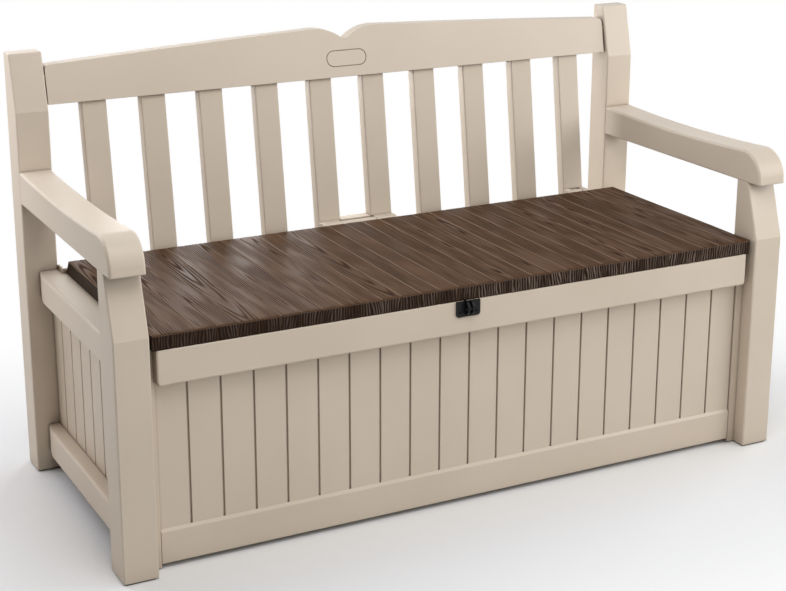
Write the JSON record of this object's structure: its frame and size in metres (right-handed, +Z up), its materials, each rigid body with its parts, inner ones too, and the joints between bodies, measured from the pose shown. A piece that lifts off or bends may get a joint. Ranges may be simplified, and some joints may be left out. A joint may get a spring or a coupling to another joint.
{
  "type": "outdoor storage bench",
  "caption": "Resin patio bench with a slatted back and shaped arms; its plank-pattern seat is a hinged lid over a storage box, with a padlock eye at the front.",
  "frame": {"origin": "middle of the bench's footprint, on the ground", "axes": "+X to the sitter's left as seen from the front (viewer's right), +Y from front to back, +Z up"},
  "size_m": [1.4, 0.607, 0.84],
  "materials": {
    "frame_resin": "fine satin moulded resin, warm beige",
    "lid_resin": "brown resin moulded with plank seams and a raised wood grain",
    "lock_resin": "black moulded resin, satin",
    "foot_resin": "dark grey-brown moulded resin, matt",
    "steel": "zinc plated steel"
  },
  "bodies": {
    "bench_frame": {"armrest_left": "frame_resin", "armrest_right": "frame_resin", "back_lower_rail": "frame_resin", "back_panel": "frame_resin", "back_panel_screws": "steel", "back_slat_1": "frame_resin", "back_slat_10": "frame_resin", "back_slat_2": "frame_resin", "back_slat_3": "frame_resin", "back_slat_4": "frame_resin", "back_slat_5": "frame_resin", "back_slat_6": "frame_resin", "back_slat_7": "frame_resin", "back_slat_8": "frame_resin", "back_slat_9": "frame_resin", "back_top_rail": "frame_resin", "floor_panel": "frame_resin", "front_foot_left": "foot_resin", "front_foot_right": "foot_resin", "front_panel": "frame_resin", "front_post_left": "frame_resin", "front_post_right": "frame_resin", "front_top_rail": "frame_resin", "hinge_pin_centre": "steel", "hinge_pin_left": "steel", "hinge_pin_right": "steel", "lock_plate": "lock_resin", "lock_plate_screws": "steel", "rear_foot_left": "foot_resin", "rear_foot_right": "foot_resin", "rear_post_left": "frame_resin", "rear_post_right": "frame_resin", "side_bottom_rail_left": "frame_resin", "side_bottom_rail_right": "frame_resin", "side_panel_left": "frame_resin", "side_panel_right": "frame_resin", "side_top_rail_left": "frame_resin", "side_top_rail_right": "frame_resin"},
    "lid_assembly": {"lid": "lid_resin", "hinge_leaf_left": "frame_resin", "hinge_leaf_centre": "frame_resin", "hinge_leaf_right": "frame_resin", "hinge_screws": "steel", "lid_lock_lug": "lock_resin", "lid_lug_screws": "steel"}
  },
  "joints": [
    {"name": "lid_hinge", "type": "hinge", "parent": "bench_frame", "child": "lid_assembly", "pos_m": [0, 0.2065, 0.435], "axis": [-1, 0, 0], "range_deg": [0, 96]}
  ]
}
